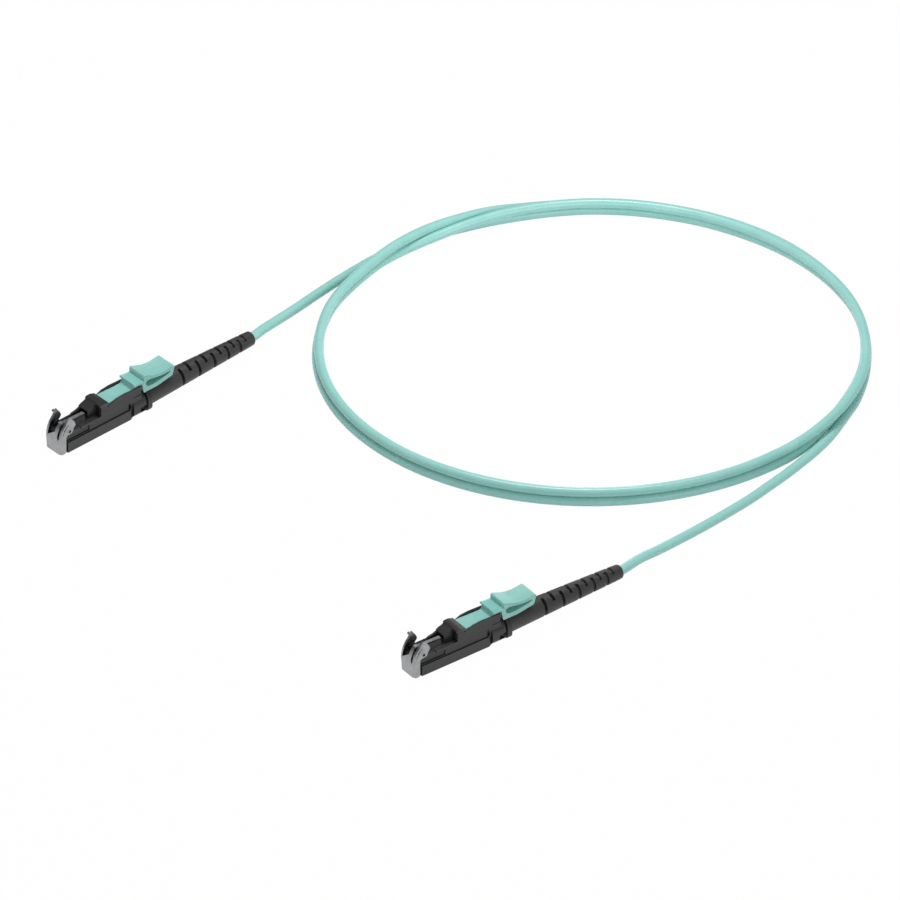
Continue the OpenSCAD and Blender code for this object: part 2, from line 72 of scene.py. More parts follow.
PLACE = {plug: plug_matrix(plug) for plug in PLUGS}

# ---------------------------------------------------------------- camera, lights and floor

VIEW_WIDTH = 0.270  # width of the view at the object
VIEW_TURN = 41.5  # degrees that the view is turned from the +Y axis towards +X
VIEW_DOWN = 36.5
CAMERA_BACK = 0.6  # an orthographic camera only has to stand clear of the cord
LOOK_AT = Vector((0.0747, -0.0782, 0.0))  # middle of the view, on the floor


def look_along(turn, down):
    """Unit vector of a view turned from +Y towards +X and tipped down, in degrees."""
    flat = math.cos(math.radians(down))
    return Vector((
        math.sin(math.radians(turn)) * flat,
        math.cos(math.radians(turn)) * flat,
        -math.sin(math.radians(down)),
    ))


def aimed(name, data, turn, down, distance):
    """A camera or lamp at that distance from the middle of the view, looking at it."""
    thing = bpy.data.objects.new(name, data)
    bpy.context.scene.collection.objects.link(thing)
    toward = look_along(turn, down)
    thing.location = LOOK_AT - toward * distance
    thing.rotation_mode = "QUATERNION"
    thing.rotation_quaternion = toward.to_track_quat("-Z", "Y")
    return thing


def make_camera():
    """Orthographic camera at the viewing angle."""
    data = bpy.data.cameras.new("camera")
    data.type = "ORTHO"
    data.ortho_scale = VIEW_WIDTH
    data.clip_start, data.clip_end = 0.01, 5.0
    bpy.context.scene.camera = aimed("camera", data, VIEW_TURN, VIEW_DOWN, CAMERA_BACK)


def make_lamp(name, turn, down, distance, side, power):
    """Square softbox of that side in metres and power in watts, aimed at the cord."""
    data = bpy.data.lights.new(name, "AREA")
    data.shape = "SQUARE"
    data.size = side
    data.energy = power
    aimed(name, data, turn, down, distance)


def linear(shade):
    """An sRGB hex colour as the linear colour that shaders take."""
    parts = [int(shade[i:i + 2], 16) / 255 for i in (1, 3, 5)]
    return [c / 12.92 if c <= 0.04045 else ((c + 0.055) / 1.055) ** 2.4 for c in parts] + [1.0]


def add(tree, kind, inputs=None, stops=None, **settings):
    """One node. inputs maps sockets to values or to the outputs they are fed from, and stops
    gives a colour ramp its places and hex colours."""
    node = tree.nodes.new(kind)
    for name, value in settings.items():
        setattr(node, name, value)
    for key, value in (inputs or {}).items():
        if isinstance(value, bpy.types.NodeSocket):
            tree.links.new(value, node.inputs[key])
        else:
            node.inputs[key].default_value = value
    for k, (spot, shade) in enumerate(stops or ()):
        stop = node.color_ramp.elements[k] if k < 2 else node.color_ramp.elements.new(spot)
        stop.position, stop.color = spot, linear(shade)
    return node


def new_material(name):
    """An empty material and its node tree."""
    material = bpy.data.materials.new(name)
    material.use_nodes = True
    material.node_tree.nodes.clear()
    return material, material.node_tree


FLOOR_GLOW = 0.985  # share of the floor's white that doesn't depend on the lamps
FLOOR_REACH = 2.0  # metres that the floor goes each way
FLOOR_DROP = 0.00002  # keeps the floor clear of the faces that rest on it


def make_floor():
    """Pale floor under the cord. It shows white to the camera and to gloss, and keeps a faint
    shadow, because a share of what is seen is the lit floor itself."""
    material, tree = new_material("painted_white_board")
    rays = add(tree, "ShaderNodeLightPath")
    seen = add(tree, "ShaderNodeMath", {
        0: rays.outputs["Is Camera Ray"], 1: rays.outputs["Is Glossy Ray"]}, operation="MAXIMUM")
    seen = add(tree, "ShaderNodeMath", {
        0: seen.outputs[0], 1: rays.outputs["Is Transmission Ray"]}, operation="MAXIMUM")
    share = add(tree, "ShaderNodeMath", {0: seen.outputs[0], 1: FLOOR_GLOW}, operation="MULTIPLY")
    lit = add(tree, "ShaderNodeBsdfDiffuse", {"Color": linear("#d4d4d4")})
    glow = add(tree, "ShaderNodeEmission", {"Color": linear("#ffffff"), "Strength": 1.0})
    both = add(tree, "ShaderNodeMixShader", {
        0: share.outputs[0], 1: lit.outputs[0], 2: glow.outputs[0]})
    add(tree, "ShaderNodeOutputMaterial", {"Surface": both.outputs[0]})
    shape = bmesh.new()
    bmesh.ops.create_grid(shape, x_segments=1, y_segments=1, size=FLOOR_REACH)
    floor = bpy.data.objects.new("floor", mesh_of(shape))
    floor.data.transform(Matrix.Translation((LOOK_AT.x, LOOK_AT.y, -FLOOR_DROP)))
    floor.data.materials.append(material)
    bpy.context.scene.collection.objects.link(floor)


def make_world(diffuse, glossy):
    """White behind the cord to the camera, and a dim surround: diffuse is its strength as light,
    glossy its strength in what gloss reflects."""
    world = bpy.data.worlds.new("studio")
    world.use_nodes = True
    tree = world.node_tree
    tree.nodes.clear()
    rays = add(tree, "ShaderNodeLightPath")
    strength = add(tree, "ShaderNodeMapRange", {
        "Value": rays.outputs["Is Glossy Ray"], "To Min": diffuse, "To Max": glossy})
    strength = add(tree, "ShaderNodeMath", {
        0: strength.outputs[0], 1: rays.outputs["Is Camera Ray"]}, operation="MAXIMUM")
    light = add(tree, "ShaderNodeBackground", {
        "Color": linear("#ffffff"), "Strength": strength.outputs[0]})
    add(tree, "ShaderNodeOutputWorld", {"Surface": light.outputs[0]})
    bpy.context.scene.world = world


def make_ring_lamp(power):
    """Small soft lamp low in the middle of the coil: it lights the inner side of the strands."""
    bulb, height = 0.018, 0.028
    data = bpy.data.lights.new("ring_lamp", "POINT")
    data.shadow_soft_size = bulb
    data.energy = power
    lamp = bpy.data.objects.new("ring_lamp", data)
    lamp.location = (COIL_AT[0] * MM, COIL_AT[1] * MM, height)
    bpy.context.scene.collection.objects.link(lamp)


# ---------------------------------------------------------------- shaping

def mesh_of(shape, name="shape"):
    """The mesh of a finished bmesh, which is freed."""
    mesh = bpy.data.meshes.new(name)
    shape.to_mesh(mesh)
    shape.free()
    return mesh


def flowing(points, step):
    """Smooth line through the points, with a point about every step. It is a centripetal
    Catmull-Rom curve, which makes no loops where points lie close together."""
    points = [Vector(p) for p in points]
    before = [points[0] * 2 - points[1]] + points
    after = points + [points[-1] * 2 - points[-2]]
    line = []
    for i in range(len(points) - 1):
        p = (before[i], points[i], points[i + 1], after[i + 2])
        t = [0.0]
        for j in range(3):
            t.append(t[-1] + (p[j + 1] - p[j]).length ** 0.5)
        count = max(1, round((p[2] - p[1]).length / step))
        for k in range(count):
            s = t[1] + (t[2] - t[1]) * k / count
            a = [(p[j] * (t[j + 1] - s) + p[j + 1] * (s - t[j])) / (t[j + 1] - t[j])
                 for j in range(3)]
            b = [(a[j] * (t[j + 2] - s) + a[j + 1] * (s - t[j])) / (t[j + 2] - t[j])
                 for j in range(2)]
            line.append((b[0] * (t[2] - s) + b[1] * (s - t[1])) / (t[2] - t[1]))
    return line + [points[-1]]


def prism(outline, near, far):
    """Closed mesh of an (x, z) outline drawn out across the plug from y near to y far."""
    shape = bmesh.new()
    ends = [[shape.verts.new((x, y, z)) for x, z in outline] for y in (near, far)]
    for end in ends:
        shape.faces.new(end)
    for i in range(len(outline)):
        j = (i + 1) % len(outline)
        shape.faces.new((ends[0][i], ends[1][i], ends[1][j], ends[0][j]))
    bmesh.ops.recalc_face_normals(shape, faces=shape.faces)
    return mesh_of(shape)


def cross_bar(x, z, radius, near, far, sides=40):
    """Round bar across the plug from y near to y far."""
    turns = [math.tau * k / sides for k in range(sides)]
    return prism([(x + radius * math.cos(a), z + radius * math.sin(a)) for a in turns], near, far)


def turned(profile, closed=True, sides=72):
    """Mesh of an (x, radius) outline turned about the plug's axis: a ring, or a capped rod."""
    shape = bmesh.new()
    turns = [math.tau * (k + 0.5) / sides for k in range(sides)]
    rings = [
        [shape.verts.new((x, r * math.cos(a), AXIS_Z + r * math.sin(a))) for a in turns]
        for x, r in profile
    ]
    for i in range(len(rings) - (0 if closed else 1)):
        ring, other = rings[i], rings[(i + 1) % len(rings)]
        for k in range(sides):
            j = (k + 1) % sides
            shape.faces.new((ring[k], ring[j], other[j], other[k]))
    if not closed:
        shape.faces.new(rings[0])
        shape.faces.new(rings[-1])
    bmesh.ops.recalc_face_normals(shape, faces=shape.faces)
    return mesh_of(shape)


def tube(line, radius, sides, name="tube"):
    """Round tube along a line, with a UV map that holds millimetres along and round it."""
    shape = bmesh.new()
    layer = shape.loops.layers.uv.new("along")
    side = Vector((0, 0, 1)).cross(line[1] - line[0]).normalized()
    rings, far = [], [0.0]
    for i, spot in enumerate(line):
        toward = (line[min(i + 1, len(line) - 1)] - line[max(i - 1, 0)]).normalized()
        side = (side - toward * side.dot(toward)).normalized()
        up = toward.cross(side)
        rings.append([
            shape.verts.new(spot + radius * (math.cos(a) * side + math.sin(a) * up))
            for a in (math.tau * k / sides for k in range(sides))
        ])
        if i:
            far.append(far[-1] + (spot - line[i - 1]).length)
    for i in range(len(line) - 1):
        for k in range(sides):
            j = (k + 1) % sides
            face = shape.faces.new((rings[i][k], rings[i][j], rings[i + 1][j], rings[i + 1][k]))
            face.smooth = True
            round_it = [math.tau * radius * turn / sides for turn in (k, k + 1, k + 1, k)]
            for loop, u, v in zip(face.loops, (far[i], far[i], far[i + 1], far[i + 1]), round_it):
                loop[layer].uv = (u, v)
    shape.faces.new(reversed(rings[0]))
    shape.faces.new(rings[-1])
    return mesh_of(shape, name)


def baked(mesh, *modifiers, tools=()):
    """The mesh after those modifiers, each given as (type, settings)."""
    holder = bpy.data.objects.new("holder", mesh)
    scene = bpy.context.scene.collection
    scene.objects.link(holder)
    for kind, settings in modifiers:
        modifier = holder.modifiers.new(kind, kind)
        for name, value in settings.items():
            setattr(modifier, name, value)
    graph = bpy.context.evaluated_depsgraph_get()
    graph.update()
    result = bpy.data.meshes.new_from_object(holder.evaluated_get(graph))
    for thing in (holder, *tools):
        bpy.data.objects.remove(thing)
    return result


def combined(mesh, others, operation):
    """The mesh joined to or cut by each of the others in turn."""
    for other in others:
        tool = bpy.data.objects.new("tool", other)
        bpy.context.scene.collection.objects.link(tool)
        mesh = baked(mesh, ("BOOLEAN", {"operation": operation, "solver": "EXACT", "object": tool}),
                     tools=(tool,))
    return mesh


def cleaned(mesh, join=1e-4, flat=math.radians(0.3)):
    """Merges doubles and dissolves the edges inside flat faces, so that bevels run cleanly."""
    shape = bmesh.new()
    shape.from_mesh(mesh)
    bmesh.ops.remove_doubles(shape, verts=shape.verts, dist=join)
    bmesh.ops.dissolve_limit(shape, angle_limit=flat, verts=shape.verts, edges=shape.edges)
    return mesh_of(shape)


ROUND_FROM = 32  # degrees: an edge that turns by more is rounded
SHARP_FROM = 38  # degrees: an edge that still turns by more after that is drawn sharp
FLAT_FACES = 60  # how strongly the large faces keep flat shading, from 1 to 100


def softened(mesh, radius, segments=2, angle=ROUND_FROM):
    """The mesh with its edges rounded and its curved faces smooth."""
    mesh = baked(mesh, ("BEVEL", {
        "width": radius, "segments": segments, "limit_method": "ANGLE",
        "angle_limit": math.radians(angle), "miter_outer": "MITER_ARC"}))
    mesh.shade_smooth()
    mesh.set_sharp_from_angle(angle=math.radians(SHARP_FROM))
    return baked(mesh, ("WEIGHTED_NORMAL", {"keep_sharp": True, "weight": FLAT_FACES}))


def put(mesh, name, plug, body, material, replaced=()):
    """Moves a finished plug piece to its plug and gives it to the frame."""
    mesh = mesh.copy()
    mesh.name = name
    mesh.transform(PLACE[plug])
    mesh.materials.clear()
    mesh.materials.append(material)
    piece = bpy.data.objects.new(name, mesh)
    bpy.context.scene.collection.objects.link(piece)
    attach(piece, body)
    if replaced:
        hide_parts(*replaced)


def cad_copy(node):
    """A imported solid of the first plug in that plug's own millimetres, merged and cleaned."""
    mesh = frame["nodes"][node].data.copy()
    mesh.transform(PLACE["a"].inverted())
    return cleaned(mesh)


make_camera()
make_floor()
make_world(diffuse=0.42, glossy=0.15)
make_lamp("overhead_softbox", VIEW_TURN + 175, 77, distance=1.1, side=0.38, power=6.6)
make_lamp("near_softbox", VIEW_TURN - 35, 24, distance=1.2, side=0.7, power=2.4)
make_ring_lamp(power=0.045)
bpy.context.scene.view_settings.view_transform = "Standard"

# ---------------------------------------------------------------- materials


def moulded_plastic(name, dark, light, edge_highlight_and_wear, rough, grain=0.5, specular=0.4):
    """Injection-moulded plastic: cloudy base colour over several millimetres, a satin spark-eroded
    grain, and paler edges, which are a painted edge highlight and wear, broken into patches. The
    real grain of about 0.03 mm is drawn grain millimetres wide, so that it shows."""
    cloud_size, patch_size = 4 * MM, 1.5 * MM
    material, tree = new_material(name)
    place = add(tree, "ShaderNodeTexCoord")
    cloud = add(tree, "ShaderNodeTexNoise", {
        "Vector": place.outputs["Object"], "Scale": 1 / cloud_size, "Detail": 3.0})
    base = add(tree, "ShaderNodeValToRGB", {"Fac": cloud.outputs[0]}, [(0.35, dark), (0.65, light)])
    shape = add(tree, "ShaderNodeNewGeometry")
    # paler on sharp edges, in patches: a painted edge highlight, partly wear
    edge = add(tree, "ShaderNodeMapRange", {
        "Value": shape.outputs["Pointiness"], "From Min": 0.52, "From Max": 0.62})
    patch = add(tree, "ShaderNodeTexNoise", {
        "Vector": place.outputs["Object"], "Scale": 1 / patch_size, "Detail": 2.0})
    edge_highlight_and_wear_share = add(tree, "ShaderNodeMath", {0: edge.outputs[0], 1: patch.outputs[0]},
                     operation="MULTIPLY")
    colour = add(tree, "ShaderNodeMix", {
        0: edge_highlight_and_wear_share.outputs[0], 6: base.outputs[0], 7: linear(edge_highlight_and_wear)}, data_type="RGBA")
    fine = add(tree, "ShaderNodeTexNoise", {
        "Vector": place.outputs["Object"], "Scale": 1 / (grain * MM), "Detail": 2.0})
    rough_field = add(tree, "ShaderNodeMapRange", {
        "Value": fine.outputs[0], "From Min": 0.3, "From Max": 0.7,
        "To Min": rough - 0.06, "To Max": rough + 0.06})
    bump = add(tree, "ShaderNodeBump", {
        "Height": fine.outputs[0], "Strength": 0.35, "Distance": 0.015 * MM})
    surface = add(tree, "ShaderNodeBsdfPrincipled", {
        "Base Color": colour.outputs[2], "Roughness": rough_field.outputs[0],
        "Specular IOR Level": specular, "IOR": 1.5, "Normal": bump.outputs[0]})
    add(tree, "ShaderNodeOutputMaterial", {"Surface": surface.outputs[0]})
    return material


def extruded_jacket(name, dark, light):
    """Halogen-free jacket drawn through a die: satin, with faint die lines along the cable, a slow
    waviness from the yarn underneath, and small scuffs. It follows the cable's own UV map. Real
    die lines lie closer together and are drawn about 0.8 mm apart, so that they show."""
    # repeats per millimetre along the cable and round it
    die_lines, waviness, scuff_marks = (0.04, 1.2, 1.0), (0.12, 0.12, 1.0), (0.5, 1.6, 1.0)
    material, tree = new_material(name)
    place = add(tree, "ShaderNodeUVMap", uv_map="along")
    lines = add(tree, "ShaderNodeMapping", {"Vector": place.outputs[0], "Scale": die_lines})
    lines = add(tree, "ShaderNodeTexNoise", {
        "Vector": lines.outputs[0], "Scale": 1.0, "Detail": 3.0})
    waves = add(tree, "ShaderNodeMapping", {"Vector": place.outputs[0], "Scale": waviness})
    waves = add(tree, "ShaderNodeTexNoise", {
        "Vector": waves.outputs[0], "Scale": 1.0, "Detail": 2.0})
    base = add(tree, "ShaderNodeValToRGB", {"Fac": waves.outputs[0]}, [(0.3, dark), (0.7, light)])
    scuffs = add(tree, "ShaderNodeMapping", {"Vector": place.outputs[0], "Scale": scuff_marks})
    scuffs = add(tree, "ShaderNodeTexNoise", {
        "Vector": scuffs.outputs[0], "Scale": 1.0, "Detail": 4.0})
    rough = add(tree, "ShaderNodeMapRange", {
        "Value": scuffs.outputs[0], "From Min": 0.3, "From Max": 0.75,
        "To Min": 0.24, "To Max": 0.32})
    height = add(tree, "ShaderNodeMath", {
        0: lines.outputs[0], 1: waves.outputs[0]}, operation="ADD")
    bump = add(tree, "ShaderNodeBump", {
        "Height": height.outputs[0], "Strength": 0.06, "Distance": 0.03 * MM})
    surface = add(tree, "ShaderNodeBsdfPrincipled", {
        "Base Color": base.outputs[0], "Roughness": rough.outputs[0],
        "Specular IOR Level": 0.5, "IOR": 1.5, "Normal": bump.outputs[0]})
    add(tree, "ShaderNodeOutputMaterial", {"Surface": surface.outputs[0]})
    return material


def metal(name, dark, light, rough, stretch, pitch):
    """Bare metal with the marks of how it was made: fine lines of that pitch in millimetres,
    drawn out along the axes where stretch is small. Real marks of about 0.02 mm are drawn at
    some tenths of a millimetre, so that they show."""
    cloud_size = 1.2 * MM
    material, tree = new_material(name)
    place = add(tree, "ShaderNodeTexCoord")
    grain = add(tree, "ShaderNodeMapping", {
        "Vector": place.outputs["Object"], "Scale": [s / (pitch * MM) for s in stretch]})
    grain = add(tree, "ShaderNodeTexNoise", {
        "Vector": grain.outputs[0], "Scale": 1.0, "Detail": 3.0})
    base = add(tree, "ShaderNodeValToRGB", {"Fac": grain.outputs[0]}, [(0.3, dark), (0.7, light)])
    cloud = add(tree, "ShaderNodeTexNoise", {
        "Vector": place.outputs["Object"], "Scale": 1 / cloud_size, "Detail": 2.0})
    roughness = add(tree, "ShaderNodeMapRange", {
        "Value": cloud.outputs[0], "From Min": 0.3, "From Max": 0.7,
        "To Min": rough - 0.05, "To Max": rough + 0.07})
    bump = add(tree, "ShaderNodeBump", {
        "Height": grain.outputs[0], "Strength": 0.3, "Distance": 0.01 * MM})
    surface = add(tree, "ShaderNodeBsdfPrincipled", {
        "Base Color": base.outputs[0], "Metallic": 1.0, "Roughness": roughness.outputs[0],
        "Normal": bump.outputs[0]})
    add(tree, "ShaderNodeOutputMaterial", {"Surface": surface.outputs[0]})
    return material


# Glass-filled polyester housing: charcoal black, satin, with slightly paler edges: painted edge
# highlight and wear
housing_polyester = moulded_plastic("moulded_pbt_black", "#242526", "#282829", "#434445",
                                    0.42, 0.5, 0.5)
# Soft elastomer boot: a little lighter and duller than the housing, with paler edges: painted edge
# highlight and wear
boot_elastomer = moulded_plastic("moulded_tpe_black", "#363637", "#3a3a3b", "#4b4b4c",
                                 0.5, 0.7, 0.5)
# Aqua ABS lever: opaque pastel, satin, edges a touch lighter: painted edge highlight and wear
lever_abs = moulded_plastic("moulded_abs_aqua", "#84c5bd", "#8bcac2", "#acdcd6", 0.45)
# Jacket of the cable: pale aqua, satin, with a soft highlight along it
jacket = extruded_jacket("extruded_lszh_aqua", "#98d5ce", "#a0dad3")
# Tight buffer over the fibre: the same aqua, smoother
buffer = moulded_plastic("extruded_pvc_aqua", "#8ccfc7", "#98d6cf", "#a8dfd9", 0.35)
# Stamped spring steel: mid grey, brushed along the strip before it was cut
stamped_steel = metal("stamped_spring_steel", "#9b9d9f", "#adafb1", 0.42, (0.15, 1.0, 0.15), 0.3)
# Nickel-plated turned brass: bright and a little warm, with fine turning lines round the axis
turned_nickel = metal("turned_nickel_plated_brass", "#b9b8b2", "#d3d2cc",
                      0.25, (1.0, 0.2, 0.2), 0.25)
# Pin steel coloured near black, dull: painted shade, so that the pin ends look like dark, shaded
# hinge holes
pin_steel_dark_as_hole_shade = metal("pin_steel_painted_dark_for_hole_shade", "#2c2d2e", "#3a3b3c", 0.4, (0.5, 0.5, 0.5), 0.3)
# Drawn aluminium tube: pale, with lines along it
drawn_aluminium = metal("drawn_aluminium", "#c4c6c8", "#d6d8da", 0.3, (0.1, 1.0, 1.0), 0.3)
# Drawn stainless wire: light grey, smooth and bright, with little grain
spring_wire = metal("drawn_stainless_wire", "#a9abad", "#c3c5c7", 0.28, (0.6, 0.6, 0.6), 0.2)
# Polished zirconia: milky white and glossy
zirconia = moulded_plastic("polished_zirconia", "#ece9e2", "#f4f2ec", "#fbfaf6", 0.12)
# Aramid yarn: dull straw yellow, matt
aramid = moulded_plastic("spun_aramid_yellow", "#cfb452", "#e3cf6a", "#efe09a", 0.8, 0.3, 0.2)

SOLID_FINISH = {
    "lever_pin": pin_steel_dark_as_hole_shade, "shutter_pin": pin_steel_dark_as_hole_shade, "shutter_leaf_spring": stamped_steel,
    "ferrule": zirconia, "ferrule_flange": turned_nickel, "ferrule_spring": spring_wire,
    "inner_frame": housing_polyester, "crimp_body": turned_nickel, "crimp_ring": drawn_aluminium,
    "fibre_buffer": buffer, "aramid_yarn": aramid, "boot_collar": housing_polyester,
    "plug_body": housing_polyester, "lever": lever_abs, "shutter": stamped_steel,
    "boot": boot_elastomer,
}


def finish_solids():
    """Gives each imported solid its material: a plug's by its name without the plug's letter, and
    the cable's the jacket."""
    for name, node in frame["nodes"].items():
        node.data.materials.clear()
        node.data.materials.append(SOLID_FINISH.get(name[:-2], jacket))


finish_solids()

# ---------------------------------------------------------------- cable

COIL_TURN = math.radians(-41.5)  # lays the oval's long side square to the view
COIL_LONG, COIL_SHORT = 82.5, 73.6  # half the oval's length and width
# The strand from each boot to the coil, in row millimetres
LEG_A = [
    (70.4, 1.1, 3.5), (77.8, 2.2, 3), (85.3, 3.5, 2.4), (93, 4.9, 1.9), (100.4, 6, 1.6),
    (107.3, 6.7, 1.5), (114, 7.1, 1.5), (118, 7.3, 1.5),
]
LEG_B = [
    (78.5, -160.3, 3.3), (85.7, -159.9, 2.5), (97.1, -159.3, 1.75), (107.2, -158.9, 1.5),
    (116.3, -158.5, 1.5), (124.9, -157.9, 1.5), (132.9, -156.8, 1.5), (140.6, -155.7, 1.5),
    (147.9, -154.3, 1.5), (155, -152.7, 1.5), (161.7, -150.7, 1.5), (168, -148.1, 1.5),
    (174.1, -145.2, 1.5), (180, -142.3, 1.5),
]
# The strand in the coil: (degrees, millimetres outside the oval, millimetres over the lowest row)
COIL = [
    (132, 1.3, 0), (125, 0.4, 0), (118, -0.45, 0), (111, -0.75, 0), (104, -0.75, 0), (97, -0.45, 0),
    (90, -0.1, 0), (80, 0, 0), (67, 0, 0), (55, -0.2, 0.1), (45, -0.55, 0.6), (35, -0.95, 1.4),
    (25, -1.05, 2.15), (15, -0.65, 2.75), (5, -0.4, 3), (-5, -0.4, 3), (-12, -0.55, 2.9),
    (-19, -0.85, 2.6), (-26, -1, 2.05), (-32, -0.7, 1.15), (-38, -0.2, 0.35), (-45, 0, 0),
    *[(a, 0, 0) for a in range(-57, -212, -12)],
    (-218, -0.5, 0.3), (-223, -1, 0.65), (-228, -1.55, 0.95), (-235, -2.2, 1.5), (-242, -2.35, 2.3),
    (-249, -2, 2.75), (-256, -1.5, 2.9), (-263, -1.05, 2.94), (-271, -0.7, 2.94),
    (-281, -0.6, 2.94), (-293, -0.7, 2.94), (-305, -0.9, 2.98), (-315, -1.4, 3.45),
    (-325, -1.9, 4.25), (-335, -1.9, 5), (-345, -1.5, 5.62), (-355, -0.9, 6), (-365, 0.1, 6),
    (-372, 0.8, 5.8), (-379, 0.95, 5.4), (-386, 0.75, 4.75), (-392, 0.3, 4.05), (-398, -0.15, 3.4),
    (-405, -0.5, 3.05), *[(a, -0.6, 2.94) for a in range(-417, -572, -12)],
    (-580, -0.75, 3.3), (-588, -0.6, 3.8), (-595, 0.15, 3.35), (-602, 0.65, 2.8), (-609, 1.5, 1.95),
    (-616, 2.15, 0.75), (-623, 2.55, 0.2), (-631, 2.95, 0), (-642, 3.05, 0), (-653, 3.05, 0),
    (-665, 2.8, 0), (-675, 2.4, 0), (-685, 1.75, 0), (-695, 1, 0), (-705, 0.5, 0), (-715, 0.1, 0),
    (-725, 0, 0), (-732, 0.3, 0),
]
JACKET_INSIDE = 28  # how far the cable runs into each boot
CABLE_STEP, CABLE_SIDES = 1.2, 28  # from ring to ring of the tube, and points round a ring


def coil_point(angle, out, up):
    """A point of the coil in the row frame, in millimetres."""
    a = math.radians(angle)
    spot = Vector((COIL_LONG * math.cos(a), COIL_SHORT * math.sin(a)))
    spot += out * Vector((math.cos(a) / COIL_LONG, math.sin(a) / COIL_SHORT)).normalized()
    c, s = math.cos(COIL_TURN), math.sin(COIL_TURN)
    return (COIL_AT[0] + c * spot.x - s * spot.y, COIL_AT[1] + s * spot.x + c * spot.y,
            CABLE_D / 2 + up)


def inside_boot(plug):
    """Straight run in a boot, from its depth out to the boot's end, in row millimetres."""
    depths = [JACKET_INSIDE * k / 4 for k in range(4, -1, -1)]
    return [PLACE[plug] @ Vector((BOOT_END - depth, 0, AXIS_Z)) / MM for depth in depths]


def make_cable():
    """One round cable from boot to boot, drawn in row millimetres and then brought to metres."""
    ends = {plug: inside_boot(plug) for plug in PLUGS}
    route = [*ends["a"], *LEG_A, *[coil_point(*turn) for turn in COIL], *LEG_B[::-1],
             *ends["b"][::-1]]
    line = flowing(route, CABLE_STEP)
    for spot in line:
        spot.z = max(spot.z, CABLE_D / 2)
    mesh = tube(line, CABLE_D / 2, CABLE_SIDES, "cable_jacket")
    mesh.transform(Matrix.Scale(MM, 4))
    mesh.materials.append(jacket)
    cable = bpy.data.objects.new("cable_jacket", mesh)
    bpy.context.scene.collection.objects.link(cable)
    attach(cable, "cord")
    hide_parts("cable_leg_a", "cable_coil", "cable_leg_b")


make_cable()

# ---------------------------------------------------------------- boots
# The slots are cut by a node tree: a bent block at each slot, turned to alternate sides. Its
# inputs are millimetres and radians. Each pitch is shorter than the one before by Closing.

SLOT_INPUTS = {
    "Slots": 10, "First": BOOT_X + 13.5, "Pitch": 3.45, "Closing": 0.146, "Width": 1.1,
    "Arc": math.radians(222), "Turn": math.radians(30), "Floor radius": 1.85, "Reach": 4.0,
    "Axis height": AXIS_Z,
}
BLOCK_POINTS = 29  # points round the bend of a block


